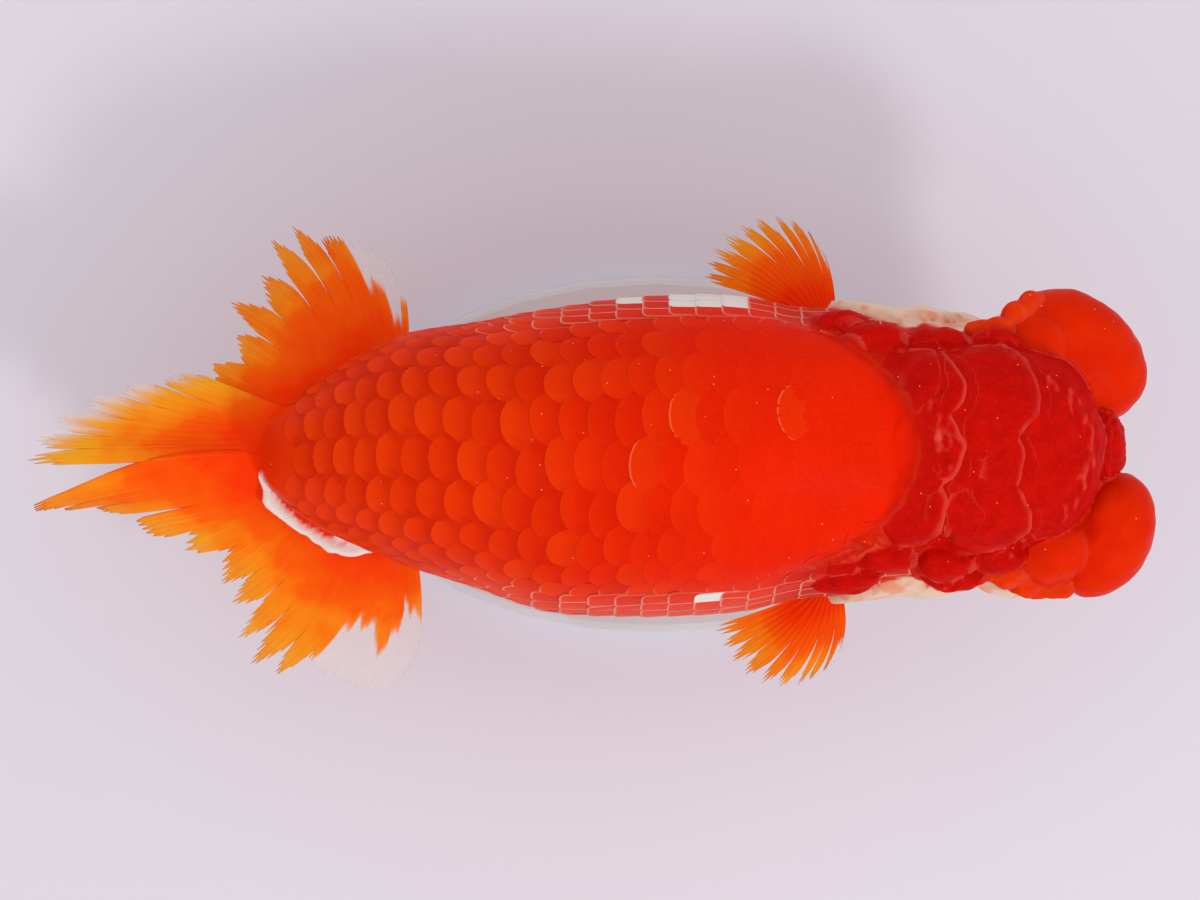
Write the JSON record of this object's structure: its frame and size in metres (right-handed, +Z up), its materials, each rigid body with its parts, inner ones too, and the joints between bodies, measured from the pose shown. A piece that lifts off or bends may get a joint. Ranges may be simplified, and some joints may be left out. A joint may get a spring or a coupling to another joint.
{
  "type": "ranchu goldfish model",
  "caption": "Life-size still model of a red ranchu goldfish with a lionhead growth, no dorsal fin and a spread double tail, held over a small oval display stand by rods.",
  "frame": {"origin": "centre of the underside of the stand's oval base", "axes": "+X from tail to snout along the fish, +Y to the fish's left, +Z up"},
  "size_m": [0.1805, 0.0787, 0.0969],
  "materials": {
    "scaled_skin": "wet scaled skin, orange-red, satin to glossy",
    "head_growth": "soft wrinkled growth, deep red with pinkish rims",
    "smooth_growth": "smooth wet growth, orange-red",
    "pale_skin": "smooth cream skin with orange patches",
    "eye": "dark pupil in a golden iris under a clear cornea",
    "fin": "thin rayed web, orange fading to yellow and clear at the edge",
    "stand_base": "plain pale satin plate",
    "stand_rod": "plain brushed rods"
  },
  "bodies": {
    "root": {"trunk": "scaled_skin", "tail_stalk": "scaled_skin", "head": "head_growth", "crown_left": "head_growth", "crown_right": "head_growth", "crown_middle": "head_growth", "crown_front": "head_growth", "nape_left": "head_growth", "nape_right": "head_growth", "nape_middle": "head_growth", "snout": "head_growth", "brow_left": "head_growth", "brow_right": "head_growth", "temple_left": "head_growth", "temple_right": "head_growth", "shoulder_left": "head_growth", "shoulder_right": "head_growth", "puff_left": "smooth_growth", "puff_right": "smooth_growth", "puff_left_rear": "smooth_growth", "puff_right_rear": "smooth_growth", "upper_lip": "pale_skin", "cheek_left": "pale_skin", "cheek_right": "pale_skin", "jowl_left": "pale_skin", "jowl_right": "pale_skin", "lower_jaw": "pale_skin", "gill_cover_left": "pale_skin", "gill_cover_right": "pale_skin", "eye_left": "eye", "eye_right": "eye", "tail_lower_left": "fin", "tail_upper_left": "fin", "tail_lower_right": "fin", "tail_upper_right": "fin", "pectoral_fin_left": "fin", "pectoral_fin_right": "fin", "pelvic_fin_left": "fin", "pelvic_fin_right": "fin", "anal_fin_left": "fin", "anal_fin_right": "fin", "stand_base": "stand_base", "stand_rod_front": "stand_rod", "stand_rod_rear": "stand_rod"}
  },
  "joints": []
}
